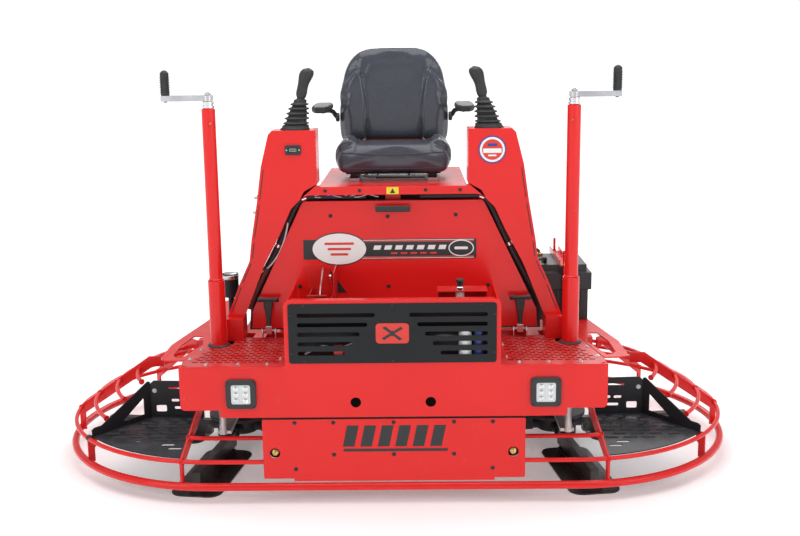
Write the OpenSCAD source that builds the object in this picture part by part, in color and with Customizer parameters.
// Twin-rotor ride-on power trowel: two bladed rotors under a guarded frame, with the
// operator's seat above the engine and a hand crank on each side for the blade pitch.
// +X is the operator's left-to-right span seen from the front, -Y is the front, +Z is up.

/* [Guard ring] */
// Overall length of the guard ring, side to side
guard_length = 2590; // [2200:10:2900]
// Overall depth of the guard ring, front to back
guard_depth = 1328; // [1328:2:1500]
// Diameter of the bottom rail
bottom_rail_d = 28; // [20:1:34]
// Diameter of the upper rails
upper_rail_d = 16; // [10:1:20]
// Height of the bottom rail's centre line
bottom_rail_z = 60; // [50:1:80]
// Thickness of a radial guard spoke
spoke_t = 8; // [4:1:12]

/* [Rotors] */
// Length of one trowel blade
blade_length = 457; // [300:1:480]
// Width of one trowel blade
blade_width = 186; // [120:1:206]
// Thickness of one trowel blade
blade_t = 5; // [3:1:8]
// Radius at which the outer ends of the blades run
rotor_radius = 602; // [560:1:610]
// Angle of the first blade arm from straight to the front
blade_lead = 8; // [0:1:20]
// Height of the blade arms' pitch axis
arm_z = 62; // [50:1:80]
// Diameter of the pitch journal of a blade arm
journal_d = 25; // [16:1:30]
// Diameter of the rotor shaft
shaft_d = 44; // [30:1:60]

/* [Front] */
// Height of the platform plates above the floor
deck_z = 495; // [460:1:560]
// Length of the front plate
fascia_length = 1458; // [1300:2:1600]
// Height of the front plate's middle
fascia_height = 182; // [150:1:220]
// Thickness of the front plate
fascia_t = 6; // [4:1:10]
// Diameter of the two lifting holes in the front plate
lift_hole_d = 36; // [24:1:44]
// Distance between the two lifting holes
lift_hole_gap = 256; // [200:2:320]
// Width of the grille box
box_width = 732; // [640:2:800]
// Height of the grille box above the platform
box_height = 229; // [180:1:260]
// Length of the grille's longest slots
slot_length = 263; // [200:1:280]
// Height of one grille slot
slot_h = 14; // [8:1:20]
// Side of a square work light
light_size = 104; // [80:1:120]
// Distance between the centres of the two work lights
light_gap = 1038; // [900:2:1120]
// Width of the lower panel
panel_width = 904; // [700:2:1000]
// Height of the lower panel
panel_height = 225; // [150:1:230]

/* [Upper body] */
// Height of the hood's top edge
hood_top = 1004; // [900:1:1010]
// Width of the hood at its top edge
hood_top_w = 674; // [560:2:700]
// Width of the hood at its foot
hood_foot_w = 1066; // [900:2:1090]
// Height of the top of the seat deck
seat_deck_z = 1056; // [1030:1:1070]
// Height of the top of the control consoles
console_z = 1265; // [1200:1:1300]
// Distance between the two consoles at the seat
console_gap = 548; // [520:2:600]
// Thickness of the folded sheet metal
sheet_t = 3; // [2:1:5]

/* [Seat] */
// Width of the seat cushion
seat_w = 440; // [400:2:470]
// Depth of the seat cushion
seat_depth = 430; // [380:2:470]
// Width of the backrest
back_w = 440; // [400:2:470]
// Height of the top of the backrest
back_top = 1556; // [1450:1:1620]

/* [Pitch cranks] */
// Distance from the middle of the machine to each crank tower
tower_x = 639; // [600:1:660]
// Outside diameter of the tower's sleeve
sleeve_d = 60; // [50:1:70]
// Outside diameter of the tower's upper tube
tube_d = 48; // [40:1:50]
// Height of the top of the upper tube
tube_top = 1350; // [1200:1:1450]
// Distance between the crank's axis and its knob
crank_throw = 148; // [110:1:150]

/* [Hidden] */
$fn = 48;

// Clearances
gap = 0.5;          // between parts that move past each other
run = 0.05;         // radial clearance of a shaft in its bore

// Guard ring
guard_radius = guard_depth / 2 - bottom_rail_d / 2;
rotor_x = guard_length / 2 - guard_depth / 2;
rail_inset = [0, 9, 86, 170, 250];
rail_rise = [0, 88, 147, 198, 244];
leg_angle = -38;
weld_gap = 0.2;
step_angles = [-37.2, -34.3, -29.9];
spoke_angles = [-80, -3, 46, 82];
spoke_w = 42;
frame_z = 400;
frame_h = 60;
frame_y = 190;

// Front
front_y = -guard_depth / 2 + 10;
fascia_low = deck_z - fascia_height;
fascia_notch = 27;
fascia_notch_x = fascia_length / 2 - 135;
box_top = deck_z + box_height;
box_r = 22;
grille_margin = 15;
slot_rows = 5;
slot_pitch = 33;
slot_step = 26;
slot_low = deck_z + 45;
slot_start = box_width / 2 - 45;
well_z = deck_z + 145;
panel_y = -guard_radius + rail_inset[1] - upper_rail_d / 2 - 3.2;
panel_top = fascia_low - 8;
nozzle_x = panel_width / 2 - 41;
nozzle_d = 36;
light_z = deck_z - 96;
light_body = light_size - 14;
light_rim = 9;
plate_t = 5;
plate_back = -272;
plate_outer_back = 673;

// Upper body
hood_y = -255;
hood_low = deck_z + 32;
hood_flange = 40;
console_y = hood_y - 28;
console_depth = 120;
console_in = console_gap / 2;
console_arm_z = seat_deck_z + 13;
tower_y = -373;
sleeve_top = deck_z + 243;
stick_x = console_in + 79;
stick_y = -230;
stick_z = console_z;
stick_hole_r = 28;
pin_d = 8;
stick_lean = 12;
meter_x = console_in + 83;
meter_z = console_z - 70;

// Seat
seat_front = -115;
cushion_z = seat_deck_z + 34;
cushion_h = 95;
back_y = seat_front + seat_depth - 75;
back_low = cushion_z + cushion_h - 20;
recline_z = cushion_z + 12;
recline_y = back_y + 20;
recline_pin_d = 12;

// ---------- general shapes ----------

module mirrored() {
    children();
    mirror([1, 0, 0]) children();
}

module rounded(w, h, r) {
    square([w - 2 * r, h], center = true);
    square([w, h - 2 * r], center = true);
    for (x = [-1, 1], y = [-1, 1])
        translate([x * (w / 2 - r), y * (h / 2 - r)]) circle(r = r);
}

// An upright plate drawn in X and Z, from y back to y - t
module upright(y, t) {
    translate([0, y, 0]) rotate([90, 0, 0]) linear_extrude(t) children();
}

// A plate drawn in Y and Z, from x to x + t
module sideways(x, t) {
    translate([x, 0, 0]) rotate([90, 0, 90]) linear_extrude(t) children();
}

module flat(z, t) {
    translate([0, 0, z]) linear_extrude(t) children();
}

// A closed box between two corners
module block(a, b) {
    translate(a) cube(b - a);
}

// An open outline moved sideways by t, to its right hand
function beside(points, t) = [
    for (i = [0 : len(points) - 1])
        let (d = points[min(i + 1, len(points) - 1)] - points[max(i - 1, 0)])
            points[i] + t / norm(d) * [d[1], -d[0]]
];

function backwards(points) = [for (i = [len(points) - 1 : -1 : 0]) points[i]];

// A strip of thickness t on the right hand of an open outline
module strip(points, t) {
    polygon(concat(points, backwards(beside(points, t))));
}

// A straight rod between two points
module rod(a, b, d) {
    v = b - a;
    translate(a) rotate([0, acos(v[2] / norm(v)), atan2(v[1], v[0])]) cylinder(h = norm(v), d = d);
}

// A bent tube with a slightly larger ball at each bend
module bent_tube(points, d) {
    for (i = [0 : len(points) - 2]) rod(points[i], points[i + 1], d);
    for (i = [1 : len(points) - 2]) translate(points[i]) sphere(d = d + 2);
}

module bolt_z(p, d, h) {
    translate(p) cylinder(h = h, d = d, $fn = 6);
}

module bolt_y(p, d, h) {
    translate(p) rotate([90, 0, 0]) cylinder(h = h, d = d, $fn = 6);
}

// ---------- guard ----------

// Half the angle that a spoke's plate takes up at a radius, with the weld gap
function spoke_half(r) = asin((spoke_t / 2 + weld_gap) / r);

// Sides of a full turn at a radius, so that the flats stay within about 0.2 mm of the arc
function arc_sides(r) = 4 * ceil(180 / acos(1 - 0.2 / r) / 4);

// A curved length of rail between the spokes at two angles, counted from straight outwards towards the back
module rail_arc(r, z, d, a0, a1) {
    h = spoke_half(r);
    translate([rotor_x, 0, z]) rotate([0, 0, a0 + h]) rotate_extrude(angle = a1 - a0 - 2 * h, $fn = arc_sides(r))
        translate([r, 0]) circle(d = d, $fn = 24);
}

// The length of rail from the last spoke of one end to that of the other, across the front or the back
module rail_across(r, z, d, a, side) {
    h = spoke_half(r);
    mirrored() translate([rotor_x, 0, z]) rotate([0, 0, side > 0 ? a + h : -90])
        rotate_extrude(angle = side > 0 ? 90 - a - h : 90 + a - h, $fn = arc_sides(r)) translate([r, 0]) circle(d = d, $fn = 24);
    translate([-rotor_x, side * r, z]) rotate([0, 90, 0]) cylinder(h = 2 * rotor_x, d = d, $fn = 24);
    for (x = [-rotor_x, rotor_x]) translate([x - 15, side * r, z]) rotate([0, 90, 0])
        cylinder(h = 30, d = d + 1.6, $fn = 24);
}

// Every length of one rail, from its first angle at the front to the back
module rail(i, angles, front) {
    r = guard_radius - rail_inset[i];
    d = i == 0 ? bottom_rail_d : upper_rail_d;
    z = bottom_rail_z + rail_rise[i];
    mirrored() for (k = [0 : len(angles) - 2]) rail_arc(r, z, d, angles[k], angles[k + 1]);
    if (front) rail_across(r, z, d, spoke_angles[0], -1);
    if (i < 3) rail_across(r, z, d, spoke_angles[3], 1);
}

module guard_rails() {
    back = [spoke_angles[1], spoke_angles[2], spoke_angles[3]];
    color([0.8, 0.08, 0.06]) {
        for (i = [0, 1]) rail(i, concat([spoke_angles[0], leg_angle], back), true);
        rail(2, concat([step_angles[0]], back), true);
        for (i = [3, 4]) rail(i, concat([step_angles[i - 2]], back), false);
    }
}

// Side view of one spoke: along the radius and up
module spoke_outline() {
    r_out = guard_radius - rail_inset[1];
    z_knee = bottom_rail_z + rail_rise[1];
    r_in = guard_radius - rail_inset[4] - 40;
    z_in = bottom_rail_z + rail_rise[4] + 30;
    polygon([
        [r_out - 16, bottom_rail_z - 4], [guard_radius + 8, bottom_rail_z - 4],
        [guard_radius + 8, bottom_rail_z + 6], [r_out + 8, bottom_rail_z + 14], [r_out + 8, z_knee + 6],
        [r_in, z_in + 20], [r_in - 60, z_in + 20], [r_in - 60, z_in - spoke_w + 20],
        [r_in - 14, z_in - spoke_w + 20], [r_out - 16, z_knee - 22]
    ]);
}

module guard_spokes() {
    color([0.8, 0.08, 0.06]) mirrored() {
        for (a = spoke_angles)
            translate([rotor_x, 0, 0]) rotate([0, 0, a]) rotate([90, 0, 0])
                translate([0, 0, -spoke_t / 2]) linear_extrude(spoke_t) spoke_outline();
        // Leg under the outer end of the side step
        translate([rotor_x, 0, 0]) rotate([0, 0, leg_angle]) rotate([90, 0, 0])
            translate([0, 0, -spoke_t / 2]) linear_extrude(spoke_t)
            polygon([
                [guard_radius - 30, bottom_rail_z - 4], [guard_radius + 8, bottom_rail_z - 4],
                [guard_radius + 8, bottom_rail_z + 6], [guard_radius - 4, bottom_rail_z + 14],
                [guard_radius - 4, bottom_rail_z + 94], [guard_radius - 40, bottom_rail_z + 94],
                [guard_radius - 40, bottom_rail_z + 60], [guard_radius - 30, bottom_rail_z + 48]
            ]);
    }
}

// ---------- frame ----------

module side_deck_outline() {
    difference() {
        polygon([
            [742, -500], [800, -500], [824, -486], [833, -462], [833, -290], [800, -100], [765, 90],
            [765, 420], [700, 500], [560, 500], [560, 440], [640, 400], [640, -200], [700, -272]
        ]);
        polygon([
            [758, -470], [782, -462], [795, -430], [795, -290], [772, -165], [740, -165], [716, -290]
        ]);
    }
}

module main_frame() {
    color([0.78, 0.08, 0.06]) {
        // Two long rails, tied by cross members
        for (y = [-frame_y, frame_y]) block([-760, y - 30, frame_z - frame_h], [760, y + 30, frame_z]);
        for (x = [-560, -300, 300, 560]) block([x - 25, -frame_y, frame_z - frame_h], [x + 25, frame_y, frame_z]);
        mirrored() {
            // Outriggers that carry the platform and the front plate
            for (x = [420, 700]) block([x - 20, panel_y + 6, frame_z - 40], [x + 20, -frame_y, frame_z]);
            for (x = [420, 700]) block([x - 20, -560, frame_z - 10], [x + 20, -520, deck_z - plate_t]);
            for (x = [420]) block([x - 20, -320, frame_z - 10], [x + 20, -285, deck_z - plate_t]);
            // End beams
            block([735, -frame_y, frame_z - frame_h], [765, frame_y, frame_z]);
            // Side deck
            flat(deck_z - 25, 5) side_deck_outline();
            for (y = [-frame_y, frame_y]) block([720, y - 20, frame_z - 10], [750, y + 20, deck_z - 25]);
            block([700, -500, frame_z - 10], [715, -470, deck_z - 25]);
            // Rear outriggers
            block([600, frame_y, frame_z - 40], [640, 560, frame_z]);
            block([150, frame_y, frame_z - 40], [190, 600, frame_z]);
        }
        // Rear bumper beam and the floor under the tanks
        block([-640, 560, frame_z - 60], [640, 600, frame_z + 40]);
        flat(frame_z, 5) translate([-520, 150]) square([1040, 410]);
        // Belly plate that carries the engine
        flat(frame_z - 6, 6) translate([-290, -170]) square([580, 340]);
    }
}

module front_box_outline() {
    half = fascia_length / 2;
    difference() {
        union() {
            translate([0, fascia_low + fascia_height / 2]) rounded(2 * fascia_notch_x, fascia_height, 12);
            translate([0, (fascia_low + fascia_notch + deck_z) / 2])
                rounded(fascia_length, fascia_height - fascia_notch, 16);
            translate([-half, deck_z - 20]) square([fascia_length, 20]);
            translate([-half + 1, deck_z - 20]) square([fascia_length - 2, 20]);
            translate([0, deck_z + box_height / 2 - 20]) rounded(box_width, box_height + 40, box_r);
        }
        for (x = [-1, 1]) translate([x * lift_hole_gap / 2, deck_z - 130]) circle(d = lift_hole_d);
        for (x = [-1, 1]) translate([x * light_gap / 2, light_z]) rounded(light_body, light_body, 10);
        translate([0, deck_z + box_height / 2]) rounded(box_width - 76, box_height - 66, 20);
    }
}

module front_box() {
    half = fascia_length / 2;
    color([0.83, 0.1, 0.07]) {
        upright(front_y + fascia_t, fascia_t) front_box_outline();
        // Returned ends of the front plate
        for (s = [-1, 1]) block(
            [s > 0 ? half - fascia_t : -half, front_y + fascia_t, fascia_low + fascia_notch + 16],
            [s > 0 ? half : -half + fascia_t, front_y + 80, deck_z - plate_t]);
        // Sides and front rim of the box
        for (s = [-1, 1]) block(
            [s > 0 ? box_width / 2 - fascia_t : -box_width / 2, front_y + fascia_t, deck_z - 20],
            [s > 0 ? box_width / 2 : -box_width / 2 + fascia_t, plate_back, box_top - box_r]);
        block([-box_width / 2 + box_r, front_y + fascia_t, box_top - 4], [box_width / 2 - box_r, front_y + 30, box_top]);
        // Shelf under the foot well
        block([-box_width / 2 + fascia_t, front_y + fascia_t, well_z - 24], [box_width / 2 - fascia_t, front_y + 20, well_z - plate_t]);
    }
}

module grille_slot(x0, x1, z) {
    r = slot_h / 2;
    translate([x0 + r, z - r]) square([x1 - x0 - slot_h, slot_h]);
    for (x = [x0 + r, x1 - r]) translate([x, z]) circle(r = r);
}

module front_grille() {
    color([0.06, 0.06, 0.065]) upright(front_y, sheet_t) difference() {
        translate([0, deck_z + 9 + (box_height - 20) / 2]) rounded(box_width - 2 * grille_margin, box_height - 22, 10);
        for (i = [0 : slot_rows - 1]) {
            x1 = slot_start - slot_length + (slot_rows - 1 - i) * slot_step;
            for (s = [0, 1]) mirror([s, 0]) grille_slot(x1, slot_start, slot_low + i * slot_pitch);
        }
    }
}

module lower_panel() {
    color([0.83, 0.1, 0.07]) upright(panel_y + sheet_t, sheet_t) difference() {
        union() {
            translate([0, panel_top - (panel_height - 10) / 2]) rounded(panel_width, panel_height - 10, 6);
            translate([0, panel_top - panel_height / 2]) rounded(panel_width - 210, panel_height, 4);
        }
        for (x = [-1, 1]) translate([x * nozzle_x, panel_top - 122]) circle(d = nozzle_d);
    }
}

module tread_plates() {
    color([0.82, 0.12, 0.1]) {
        // Platform plate beside the box, one each side
        mirrored() flat(deck_z - plate_t, plate_t) difference() {
            polygon([
                [box_width / 2 + 1, front_y + fascia_t], [fascia_length / 2 - 30, front_y + fascia_t],
                [fascia_length / 2 - 8, front_y + 22], [fascia_length / 2, front_y + 60],
                [plate_outer_back, plate_back], [box_width / 2 + 1, plate_back]
            ]);
            translate([tower_x, tower_y]) circle(d = sleeve_d + 1);
            translate([590, tower_y + 10]) square([48, 60]);
        }
        // Floor of the foot well
        flat(well_z - plate_t, plate_t)
            translate([-box_width / 2 + fascia_t + 0.5, front_y + fascia_t + 0.5])
            square([box_width - 2 * fascia_t - 1, hood_y - front_y - fascia_t - 2]);
    }
}

module lower_panel_nozzles() {
    for (x = [-1, 1]) translate([x * nozzle_x, panel_y + 40, panel_top - 122]) rotate([90, 0, 0]) {
        cylinder(h = 44, d = 16);
        cylinder(h = 30, d = 24, $fn = 6);
    }
}

// ---------- upper body ----------

module hood_outline() {
    polygon([
        [-hood_foot_w / 2, hood_low], [hood_foot_w / 2, hood_low], [hood_foot_w / 2 - 3, hood_low + 66],
        [hood_top_w / 2, hood_top - 12], [hood_top_w / 2 - 6, hood_top - 3], [hood_top_w / 2 - 16, hood_top],
        [-hood_top_w / 2 + 16, hood_top], [-hood_top_w / 2 + 6, hood_top - 3], [-hood_top_w / 2, hood_top - 12],
        [-hood_foot_w / 2 + 3, hood_low + 66]
    ]);
}

module hood() {
    edge = [
        [hood_top_w / 2 - 16, hood_top], [hood_top_w / 2 - 6, hood_top - 3], [hood_top_w / 2, hood_top - 12],
        [hood_foot_w / 2 - 3, hood_low + 66], [hood_foot_w / 2, hood_low]
    ];
    color([0.83, 0.1, 0.07]) {
        upright(hood_y + sheet_t, sheet_t) hood_outline();
        mirrored() upright(hood_y + hood_flange, hood_flange) strip(edge, sheet_t);
        block([-hood_top_w / 2 + 14, hood_y, hood_top - sheet_t], [hood_top_w / 2 - 14, hood_y + hood_flange, hood_top]);
    }
}

module hood_handle() {
    color([0.05, 0.05, 0.055]) {
        translate([0, 0, hood_top - 26]) {
            upright(hood_y - 26, 10) rounded(128, 22, 6);
            for (s = [-1, 1]) translate([s * 50, hood_y - 0.1, 0]) rotate([90, 0, 0]) cylinder(h = 30, d = 14);
        }
    }
}

module seat_deck() {
    color([0.8, 0.1, 0.07]) {
        // Top plate with a folded front beam
        block([-console_in + 1, stick_y - 5, seat_deck_z - 5], [console_in - 1, 420, seat_deck_z]);
        block([-console_in + 1, stick_y - 8, seat_deck_z - 32], [console_in - 1, stick_y - 5, seat_deck_z]);
        block([-console_in + 1, 417, seat_deck_z - 60], [console_in - 1, 420, seat_deck_z - 5]);
        // Centre post behind the hood
        block([-28, hood_y + hood_flange + 1, frame_z], [28, hood_y + hood_flange + 25, seat_deck_z - 5]);
        // Corner legs down to the frame
        for (x = [-1, 1]) {
            block([x * 258 - 16, -170, frame_z], [x * 258 + 16, -138, seat_deck_z - 5]);
            block([x * 258 - 16, 380, frame_z + 5], [x * 258 + 16, 412, seat_deck_z - 5]);
        }
    }
}

function console_outer() = [
    [console_in + 158, console_z], [console_in + 172, console_z - 14], [console_in + 202, console_z - 130],
    [console_in + 221, console_z - 260], [console_in + 246, console_z - 400], [console_in + 256, console_z - 476],
    [console_in + 298, console_z - 566], [console_in + 347, console_z - 691]
];

function console_inner() = [
    [console_in + 283, console_z - 691], [console_in + 203, console_z - 495], [console_in + 136, console_z - 368],
    [console_in + 97, console_z - 284], [console_in + 45, console_z - 234], [console_in, console_z - 196],
    [console_in, console_z]
];

module console() {
    outer = console_outer();
    inner = console_inner();
    upright(console_y + sheet_t, sheet_t) polygon(concat(outer, inner));
    upright(console_y + console_depth, console_depth) strip(outer, sheet_t);
    // Bearings of the joystick's cross pin
    for (s = [-1, 1]) translate([stick_x + s * 30, stick_y, stick_z]) difference() {
        translate([-3.5, -8, -10]) cube([7, 16, 16]);
        translate([-5, 0, 0]) rotate([0, 90, 0]) cylinder(h = 10, d = pin_d + 2 * run);
    }
    // Inner flange beside the seat
    block([console_in, console_y, console_z - 196], [console_in + sheet_t, console_y + console_depth, console_z]);
    // Top cap that carries the joystick, and a back tie
    difference() {
        block([console_in, console_y, console_z - sheet_t], [console_in + 156.5, console_y + console_depth, console_z]);
        translate([stick_x, stick_y, console_z - 10]) cylinder(h = 20, r = stick_hole_r);
        translate([stick_x - 40, stick_y, stick_z]) rotate([0, 90, 0]) cylinder(h = 80, d = pin_d + 2 * run);
    }
    // Foot block that stands on the platform frame
    block([console_in + 283, console_y - 40, deck_z], [console_in + 343, console_y + 60, console_z - 686]);
}

module consoles() {
    color([0.83, 0.1, 0.07]) difference() {
        mirrored() console();
        translate([-meter_x, 0, meter_z]) upright(console_y + 30, 40) rounded(44 + gap, 24 + gap, 4);
    }
}

module hour_meter() {
    color([0.1, 0.1, 0.11]) {
        translate([-meter_x, 0, meter_z]) {
            upright(console_y, 6) rounded(58, 36, 8);
            upright(console_y + 30, 30) rounded(44, 24, 4);
        }
    }
}

module joystick_boots() {
    color([0.05, 0.05, 0.055]) mirrored() translate([stick_x, stick_y, console_z]) {
        difference() {
            cylinder(h = 8, r = 51);
            translate([0, 0, -1]) cylinder(h = 10, r = 40);
        }
        for (i = [0 : 4]) translate([-6 - i * 3.2, 0, 8 + i * 20]) difference() {
            cylinder(h = 20, r = 43 - i * 5);
            translate([0, 0, -1]) cylinder(h = 22, r = 38 - i * 5);
        }
    }
}

// Lever of one joystick, leaning inwards
module joystick() {
    rotate([0, -stick_lean, 0]) {
        cylinder(h = 120, d = 12);
        translate([0, 0, 112]) cylinder(h = 34, r = 12);
        translate([0, 0, 146]) cylinder(h = 70, r = 16);
        translate([0, 0, 206]) intersection() {
            sphere(r = 22);
            translate([-30, -30, -14]) cube([60, 60, 60]);
        }
    }
}

// Lever that turns straight in the console's bearings
module joystick_left() {
    color([0.05, 0.05, 0.055]) mirror([1, 0, 0]) translate([stick_x, stick_y, stick_z]) {
        joystick();
        translate([-33.5, 0, 0]) rotate([0, 90, 0]) cylinder(h = 67, d = pin_d);
    }
}

// Lever that also turns sideways, on a pin through the gimbal ring
module joystick_right() {
    color([0.05, 0.05, 0.055]) translate([stick_x, stick_y, stick_z]) {
        joystick();
        translate([0, 23, 0]) rotate([90, 0, 0]) cylinder(h = 46, d = pin_d - 1);
    }
}

module joystick_gimbal() {
    color([0.6, 0.6, 0.62]) translate([stick_x, stick_y, stick_z]) difference() {
        union() {
            translate([0, 0, -6]) cylinder(h = 12, r = 24);
            for (s = [0, 180]) rotate([0, 0, s]) translate([20, 0, 0]) rotate([0, 90, 0]) cylinder(h = 13.5, d = pin_d);
        }
        translate([0, 0, -10]) cylinder(h = 20, r = 17);
        translate([0, 30, 0]) rotate([90, 0, 0]) cylinder(h = 60, d = pin_d - 1 + 2 * run);
    }
}

// ---------- seat ----------

module seat_slides() {
    color([0.62, 0.62, 0.65]) for (x = [-150, 150]) {
        block([x - 20, -90, seat_deck_z], [x + 20, 290, seat_deck_z + 12]);
        for (y = [-60, 250]) bolt_z([x, y, seat_deck_z + 12], 14, 2);
    }
}

module seat_pan() {
    color([0.08, 0.08, 0.085]) {
        for (x = [-150, 150]) block([x - 14, -85, seat_deck_z + 14.5], [x + 14, 285, cushion_z - 6]);
        block([-180, seat_front + 30, cushion_z - 6], [180, back_y - 12, cushion_z - 1]);
        // Slide lever across the front
        bent_tube([[-60, -60, cushion_z - 12], [-60, seat_front - 14, cushion_z - 14], [60, seat_front - 14, cushion_z - 14], [60, -60, cushion_z - 12]], 9);
        // Hinge ears for the backrest
        for (s = [-1, 1]) block([s * 150 - 4, back_y - 40, cushion_z - 6], [s * 150 + 4, back_y + 52, recline_z + 14]);
        // Recline pins
        for (s = [-1, 1]) translate([s * 144 - 8, recline_y, recline_z]) rotate([0, 90, 0]) cylinder(h = 16, d = recline_pin_d);
    }
}

module seat_cushion() {
    color([0.05, 0.05, 0.055]) difference() {
        union() {
            block([-seat_w / 2, seat_front, cushion_z], [seat_w / 2, back_y - 42, cushion_z + cushion_h]);
            for (s = [-1, 1]) block(
                [s > 0 ? seat_w / 2 - 60 : -seat_w / 2, seat_front + 30, cushion_z + cushion_h - 1],
                [s > 0 ? seat_w / 2 : -seat_w / 2 + 60, back_y - 42, cushion_z + cushion_h + 36]);
        }
        for (s = [-1, 1]) block([s * 150 - 6, back_y - 44, cushion_z - 1], [s * 150 + 6, back_y - 30, recline_z + 16]);
    }
}

module seat_back() {
    r_top = 120;
    color([0.05, 0.05, 0.055]) {
        difference() {
            upright(back_y + 60, 96) union() {
                translate([-back_w / 2, back_low]) square([back_w, back_top - back_low - r_top]);
                translate([-back_w / 2 + r_top, back_low + 100]) square([back_w - 2 * r_top, back_top - back_low - 100]);
                for (s = [-1, 1]) translate([s * (back_w / 2 - r_top), back_top - r_top]) circle(r = r_top);
            }
            block([-back_w / 2 - 1, back_y - 37, back_low - 1], [back_w / 2 + 1, back_y - 36 + 0.5, back_low + 1]);
        }
        // Recline brackets inside the pan's ears
        for (s = [-1, 1]) difference() {
            union() {
                block([s * 142 - 3, recline_y - 14, recline_z], [s * 142 + 3, recline_y + 14, back_low]);
                translate([s * 142 - 3, recline_y, recline_z]) rotate([0, 90, 0]) cylinder(h = 6, d = 28);
            }
            translate([s * 142 - 10, recline_y, recline_z]) rotate([0, 90, 0]) cylinder(h = 20, d = recline_pin_d + 2 * run);
        }
    }
}

module armrest() {
    z = back_low + 152;
    color([0.06, 0.06, 0.065]) {
        // Padded arm
        block([back_w / 2 + 22, seat_front + 95, z - 4], [back_w / 2 + 98, back_y + 40, z + 26]);
        // Steel bracket and its pivot
        block([back_w / 2 + 8, back_y - 24, z - 58], [back_w / 2 + 16, back_y + 24, z]);
        block([back_w / 2 + 8, back_y - 24, z - 12], [back_w / 2 + 60, back_y + 24, z - 4]);
        translate([back_w / 2 + gap, back_y, z - 40]) rotate([0, 90, 0]) cylinder(h = 16, d = 34);
    }
}

module armrest_left() {
    mirror([1, 0, 0]) armrest();
}

module armrest_right() {
    armrest();
}

// ---------- pitch cranks ----------

module pitch_towers() {
    color([0.8, 0.08, 0.06]) mirrored() translate([tower_x, tower_y, 0]) {
        difference() {
            union() {
                translate([0, 0, frame_z]) cylinder(h = sleeve_top - frame_z, d = sleeve_d);
                translate([0, 0, sleeve_top]) cylinder(h = tube_top - sleeve_top, d = tube_d);
                translate([0, 0, tube_top]) cylinder(h = 26, d = 36);
                translate([-45, -12, frame_z]) cube([90, 24, 6]);
            }
            translate([0, 0, 900]) cylinder(h = tube_top, r = 10 + run);
        }
    }
}

module crank() {
    z = tube_top + 26;
    color([0.7, 0.7, 0.72]) translate([tower_x, tower_y, 0]) {
        translate([0, 0, z + gap]) cylinder(h = 20, d = 34);
        translate([0, 0, 1000]) cylinder(h = z + 20 - 1000, r = 10);
        difference() {
            translate([-17, -12, z + gap]) cube([crank_throw + 32, 24, 20]);
            translate([crank_throw, 0, z - 1]) cylinder(h = 40, r = 6 + run);
        }
    }
}

module crank_left() {
    mirror([1, 0, 0]) crank();
}

module crank_right() {
    crank();
}

module knob() {
    z = tube_top + 26 + gap + 20 + gap;
    color([0.05, 0.05, 0.055]) translate([tower_x + crank_throw, tower_y, 0]) {
        translate([0, 0, z]) cylinder(h = 78, d = 30);
        translate([0, 0, z + 72]) intersection() {
            sphere(d = 30);
            cylinder(h = 20, d = 40);
        }
        translate([0, 0, z - 24]) cylinder(h = 30, r = 6);
    }
}

module knob_left() {
    mirror([1, 0, 0]) knob();
}

module knob_right() {
    knob();
}

// ---------- rotors ----------

gear_z = 232;
thrust_z = 150;
thrust_travel = 10;

module gearboxes() {
    color([0.12, 0.12, 0.13]) mirrored() translate([rotor_x, 0, 0]) difference() {
        union() {
            translate([0, 0, gear_z]) cylinder(h = 100, r = 115);
            translate([0, 0, gear_z + 100]) cylinder(h = 8, r = 150);
            block([-150, -150, frame_z - frame_h - 8], [150, 150, frame_z - frame_h]);
            translate([-160, 0, gear_z + 55]) rotate([0, 90, 0]) cylinder(h = 60, r = 42);
        }
        translate([0, 0, gear_z - 1]) cylinder(h = 81, d = shaft_d + 2 * run);
        translate([-161, 0, gear_z + 55]) rotate([0, 90, 0]) cylinder(h = 50, r = 16 + run);
    }
}

module drive_shaft() {
    x = rotor_x - 112;
    color([0.5, 0.5, 0.52]) {
        translate([-x, 0, gear_z + 55]) rotate([0, 90, 0]) cylinder(h = 2 * x, r = 16);
        for (s = [-1, 1]) translate([s * 440 - 20, 0, gear_z + 55]) rotate([0, 90, 0]) cylinder(h = 40, r = 36);
        translate([-24, 0, gear_z + 55]) rotate([0, 90, 0]) cylinder(h = 48, r = 85);
    }
}

// Hub with four bored sockets, and the shaft up into the gearbox
module spider() {
    color([0.14, 0.14, 0.15]) difference() {
        union() {
            translate([0, 0, arm_z - 24]) cylinder(h = 48, r = 62);
            for (a = [0 : 90 : 270]) rotate([0, 0, a - 90 - blade_lead]) translate([40, 0, arm_z])
                rotate([0, 90, 0]) cylinder(h = 78, d = journal_d + 22);
            translate([0, 0, arm_z]) cylinder(h = gear_z + 75 - arm_z, d = shaft_d);
        }
        for (a = [0 : 90 : 270]) rotate([0, 0, a - 90 - blade_lead]) translate([66, 0, arm_z])
            rotate([0, 90, 0]) cylinder(h = 60, d = journal_d + 2 * run);
    }
}

module spider_left() {
    mirror([1, 0, 0]) translate([rotor_x, 0, 0]) mirror([1, 0, 0]) spider();
}

module spider_right() {
    translate([rotor_x, 0, 0]) mirror([1, 0, 0]) spider();
}

// One blade with its arm, drawn along +X from the rotor's axis
module blade_and_arm() {
    r_in = rotor_radius - blade_length;
    color([0.2, 0.2, 0.21]) {
        flat(0, blade_t) translate([(r_in + rotor_radius) / 2, 0]) rounded(blade_length, blade_width, 48);
        block([r_in + 20, -22, blade_t], [rotor_radius - 24, 22, blade_t + 12]);
        block([125, -15, blade_t + 12], [rotor_radius - 40, 15, arm_z + 14]);
        translate([70, 0, arm_z]) rotate([0, 90, 0]) cylinder(h = 70, d = journal_d);
        // Lever that the thrust plate presses
        block([121, -58, arm_z - 8], [133, 14, arm_z + 14]);
        block([96, -58, arm_z - 8], [133, -44, arm_z + 40]);
    }
}

module blade_left(i) {
    translate([-rotor_x, 0, 0]) rotate([0, 0, -90 - blade_lead + 90 * i]) blade_and_arm();
}

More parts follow.
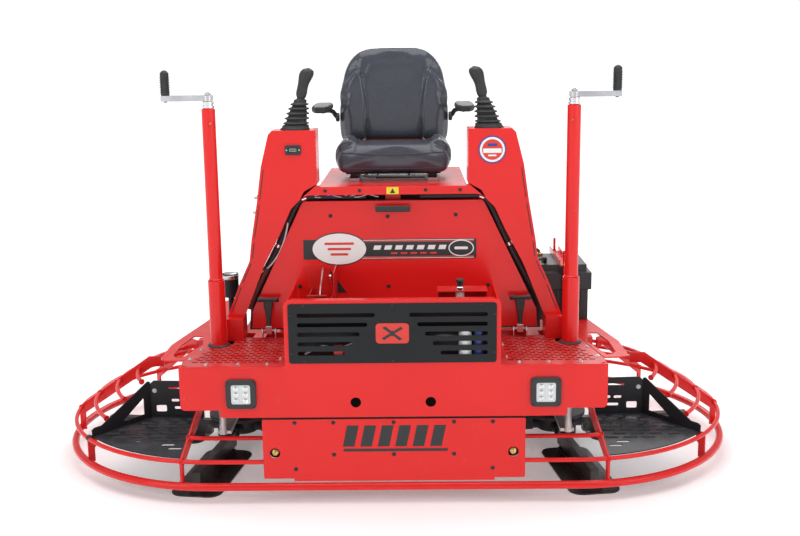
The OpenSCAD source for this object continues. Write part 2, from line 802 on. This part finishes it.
module blade_right(i) {
    mirror([1, 0, 0]) blade_left(i);
}

module thrust_plate() {
    color([0.25, 0.25, 0.26]) difference() {
        union() {
            translate([0, 0, thrust_z - 46]) cylinder(h = 14, r = 128);
            translate([0, 0, thrust_z - 32]) cylinder(h = 34, r = 42);
        }
        translate([0, 0, thrust_z - 50]) cylinder(h = 60, d = shaft_d + 2 * run);
    }
}

module thrust_plate_left() {
    translate([-rotor_x, 0, 0]) thrust_plate();
}

module thrust_plate_right() {
    translate([rotor_x, 0, 0]) thrust_plate();
}

// Yoke that hangs from the tower's screw and presses the thrust plate
module pitch_fork() {
    z = thrust_z + 2 + gap;
    dx = tower_x - rotor_x;
    color([0.3, 0.3, 0.31]) {
        difference() {
            union() {
                translate([rotor_x, 0, z]) cylinder(h = 14, r = 48);
                block([rotor_x - 22, tower_y, z], [rotor_x + 22 + dx, -30, z + 14]);
            }
            translate([rotor_x, 0, z - 1]) cylinder(h = 20, d = shaft_d + 4);
        }
        translate([tower_x, tower_y, z]) cylinder(h = frame_z - z - thrust_travel, d = 26);
    }
}

module pitch_fork_left() {
    mirror([1, 0, 0]) pitch_fork();
}

module pitch_fork_right() {
    pitch_fork();
}

// ---------- power and tanks ----------

module engine_block() {
    color([0.13, 0.13, 0.14]) {
        block([-150, -140, frame_z + 20], [150, 160, frame_z + 240]);
        for (s = [-1, 1]) translate([s * 95, 10, frame_z + 210]) rotate([0, s * 42, 0]) {
            for (i = [0 : 6]) translate([0, 0, 20 + i * 14]) cube([120, 150, 6], center = true);
            cylinder(h = 120, d = 90);
            translate([0, 0, 126]) cube([120, 150, 26], center = true);
        }
        for (x = [-110, 110], y = [-110, 130]) translate([x, y, frame_z]) cylinder(h = 22, d = 40);
    }
}

module blower_housing() {
    color([0.07, 0.07, 0.075]) difference() {
        translate([0, 166, frame_z + 190]) rotate([-90, 0, 0]) cylinder(h = 70, r = 165);
        translate([0, 200, frame_z + 190]) rotate([-90, 0, 0]) cylinder(h = 40, r = 110);
    }
}

module filters() {
    color([0.06, 0.06, 0.065]) {
        // Air cleaner above the engine
        translate([-150, 90, frame_z + 470]) rotate([0, 90, 0]) cylinder(h = 300, r = 75);
        translate([0, 90, frame_z + 366]) cylinder(h = 60, d = 60);
        // Fuel filter beside the left tower, on its stand
        translate([-679, 150, 560]) cylinder(h = 96, d = 66);
        translate([-679, 150, deck_z - 20]) cylinder(h = 85, d = 24);
    }
}

module muffler() {
    color([0.35, 0.34, 0.33]) {
        translate([-200, 330, frame_z + 110]) rotate([0, 90, 0]) cylinder(h = 400, r = 62);
        rod([150, 330, frame_z + 110], [150, 520, frame_z + 150], 40);
        for (x = [-120, 120]) block([x - 12, 300, frame_z + 5], [x + 12, 360, frame_z + 60]);
    }
}

module tank(x0, x1) {
    difference() {
        translate([(x0 + x1) / 2, 330, frame_z + 5]) linear_extrude(330) rounded(x1 - x0, 300, 30);
        translate([(x0 + x1) / 2, 400, frame_z + 325]) cylinder(h = 20, r = 30);
    }
    translate([(x0 + x1) / 2, 400, frame_z + 325]) cylinder(h = 32, r = 28);
}

module fuel_tank() {
    color([0.1, 0.1, 0.11]) mirror([1, 0, 0]) tank(290, 490);
}

module water_tank() {
    color([0.75, 0.76, 0.76]) tank(290, 490);
}

module battery() {
    color([0.07, 0.07, 0.08]) {
        block([572, 40, deck_z - 20], [770, 300, deck_z + 105]);
        block([562, 30, deck_z + 105], [782, 310, deck_z + 175]);
        block([580, 46, deck_z + 175], [764, 294, deck_z + 205]);
    }
}

module battery_hold_down() {
    z = deck_z + 205;
    color([0.8, 0.1, 0.07]) {
        block([650, 10, z], [690, 330, z + 4]);
        for (x = [650, 686]) block([x, 10, z], [x + 4, 330, z + 24]);
        for (y = [20, 320]) rod([670, y, deck_z - 20], [670, y, z + 60], 10);
    }
}

module work_lights() {
    color([0.08, 0.08, 0.085]) for (s = [-1, 1]) translate([s * light_gap / 2, 0, light_z]) {
        upright(front_y, light_rim) rounded(light_size, light_size, 16);
        upright(front_y + 48, 49) rounded(light_body - 2 * gap, light_body - 2 * gap, 10);
    }
}

// ---------- steps ----------

tread_z = bottom_rail_z + 92;
step_in = [rotor_x + 115, -186];
step_corner = [rotor_x + 321, -180];
step_end = [rotor_x + guard_radius - 161, -400];

module side_step() {
    arc_r = guard_radius - 22;
    arc = [for (a = [-40 : -5.5 : -78.5]) [rotor_x + arc_r * cos(a), arc_r * sin(a)]];
    flat(tread_z, 4) polygon(concat([[step_in[0], step_in[1]], step_corner, step_end], arc, [[step_in[0], -arc_r + 14]]));
    // Back plate
    upright(step_corner[1] + 4, 4) difference() {
        polygon([
            [step_in[0], tread_z], [step_corner[0], tread_z], [step_corner[0], tread_z + 144],
            [step_corner[0] - 14, tread_z + 150], [step_in[0], tread_z + 146]
        ]);
        translate([step_corner[0] - 42, tread_z + 34]) rounded(44, 30, 6);
    }
    // Gusset plate that the upper rails end on
    d = step_end - step_corner;
    reach = norm(d);
    translate([step_corner[0], step_corner[1], 0]) rotate([0, 0, atan2(d[1], d[0])]) rotate([90, 0, 0])
        translate([0, 0, -2]) linear_extrude(4) difference() {
            polygon([
                [0, tread_z], [reach, tread_z], [reach, tread_z + 30], [reach - 12, tread_z + 36],
                [reach - 44, tread_z + 36], [12, tread_z + 150], [0, tread_z + 146]
            ]);
            polygon([[34, tread_z + 24], [132, tread_z + 24], [34, tread_z + 90]]);
        }
}

module side_steps() {
    color([0.05, 0.05, 0.055]) mirrored() side_step();
}

// ---------- controls ----------

pedal_x = -262;
pedal_y = -450;
valve_x = 236;
valve_y = -470;

module pedal_brackets() {
    color([0.8, 0.1, 0.07]) {
        // Clevis of the throttle pedal
        for (x = [pedal_x - 44, pedal_x + 40]) block([x, pedal_y - 10, well_z], [x + 4, hood_y - 2, well_z + 40]);
        block([pedal_x + 48, -420, well_z], [pedal_x + 52, hood_y - 2, well_z + 130]);
        // Stand of the foot valve
        difference() {
            block([valve_x - 80, valve_y - 24, well_z], [valve_x + 96, valve_y + 60, well_z + 76]);
            block([valve_x - 76, valve_y - 30, well_z - 1], [valve_x + 92, valve_y + 56, well_z + 72]);
            translate([valve_x, valve_y, well_z]) cylinder(h = 100, r = 9 + run);
        }
        translate([valve_x, valve_y, well_z + 76]) difference() {
            cylinder(h = 14, r = 14);
            translate([0, 0, -1]) cylinder(h = 20, r = 9 + run);
        }
    }
}

module throttle_pedal() {
    color([0.8, 0.12, 0.1]) {
        rod([pedal_x - 39.5, pedal_y, well_z + 20], [pedal_x + 39.5, pedal_y, well_z + 20], 12);
        translate([pedal_x, pedal_y, well_z + 20]) rotate([-24, 0, 0]) {
            translate([-34, -110, 10]) cube([68, 140, 5]);
            for (x = [-34, 29]) translate([x, -12, -4]) cube([5, 30, 16]);
        }
    }
}

module foot_valve_button() {
    color([0.1, 0.1, 0.11]) translate([valve_x, valve_y, 0]) {
        translate([0, 0, well_z + 40]) cylinder(h = 66, r = 9);
        translate([0, 0, well_z + 104]) cylinder(h = 10, r = 15);
    }
}

latch_x = 466;
latch_y = -291;

module latch() {
    z = deck_z + 26;
    color([0.05, 0.05, 0.055]) {
        rod([latch_x - 18, latch_y, z], [latch_x + 18, latch_y, z], 9);
        block([latch_x - 10, latch_y - 5, z], [latch_x + 10, latch_y + 5, z + 112]);
        translate([latch_x, latch_y, z + 112]) rotate([0, 90, 0]) translate([0, 0, -12]) cylinder(h = 24, d = 30);
        translate([latch_x, latch_y, z + 128]) rotate([0, 90, 0]) translate([0, 0, -34]) cylinder(h = 68, d = 14);
    }
}

module latch_left() {
    mirror([1, 0, 0]) latch();
}

module latch_right() {
    latch();
}

// Hoses and cables, clipped along both edges of the hood and under the seat deck
module wiring_harness() {
    color([0.07, 0.07, 0.075]) for (s = [-1, 1], k = [0, 1]) {
        y = hood_y + 12 + 20 * k;
        bent_tube([
            [s * (60 + 50 * k), y, hood_top + 10], [s * (hood_top_w / 2 + 2), y, hood_top + 10],
            [s * (hood_top_w / 2 + 38), y, hood_top - 40], [s * (hood_top_w / 2 + 112), y, 800],
            [s * (hood_foot_w / 2 + 16), y, 600 + 30 * k]
        ], 16 - k * 2);
    }
}

module fasteners() {
    color([0.7, 0.7, 0.72]) {
        // Lower panel bolts
        for (x = [-340, -207, 0, 207, 340]) bolt_y([x, panel_y, panel_top - 12], 12, 4);
        for (x = [-207, 0, 207]) bolt_y([x, panel_y, panel_top - 128], 12, 4);
        for (x = [-340, 340]) bolt_y([x, panel_y, panel_top - 180], 12, 4);
        lower_panel_nozzles();
        // Hood bolts
        for (s = [-1, 1], p = [[230, hood_top - 54], [350, hood_top - 318]]) bolt_y([s * p[0], hood_y, p[1]], 12, 5);
        for (z = [hood_top - 58, hood_top - 320]) bolt_y([-20, hood_y, z], 12, 5);
        // Latch brackets on the platform's back edge
        mirrored() for (x = [latch_x - 26, latch_x + 22]) block([x, latch_y - 12, deck_z], [x + 4, latch_y + 12, deck_z + 40]);
        // Platform bolts
        mirrored() for (x = [430, 530, 640]) bolt_z([x, front_y + 24, deck_z], 14, 5);
        mirrored() for (p = [[712, -560], [696, -440], [395, -560], [395, -400]]) bolt_z([p[0], p[1], deck_z], 14, 5);
        // Grille screws
        for (x = [-1, 1], z = [20, 100, 190]) bolt_y([x * (box_width / 2 - 28), front_y - 3, deck_z + z], 9, 3);
        for (x = [-210, 0, 210], z = [14, 205]) bolt_y([x, front_y - 3, deck_z + z], 9, 3);
    }
}

main_frame();
guard_rails();
guard_spokes();
front_box();
front_grille();
lower_panel();
tread_plates();
hood();
hood_handle();
seat_deck();
consoles();
hour_meter();
battery();
battery_hold_down();
engine_block();
blower_housing();
filters();
muffler();
fuel_tank();
water_tank();
side_steps();
work_lights();
gearboxes();
drive_shaft();
pitch_towers();
crank_left();
crank_right();
knob_left();
knob_right();
joystick_left();
joystick_right();
joystick_gimbal();
joystick_boots();
throttle_pedal();
pedal_brackets();
foot_valve_button();
latch_left();
latch_right();
seat_slides();
seat_pan();
seat_cushion();
seat_back();
armrest_left();
armrest_right();
wiring_harness();
fasteners();
spider_left();
spider_right();
thrust_plate_left();
thrust_plate_right();
pitch_fork_left();
pitch_fork_right();
blade_left(0);  // blade_left_1
blade_left(1);  // blade_left_2
blade_left(2);  // blade_left_3
blade_left(3);  // blade_left_4
blade_right(0);  // blade_right_1
blade_right(1);  // blade_right_2
blade_right(2);  // blade_right_3
blade_right(3);  // blade_right_4
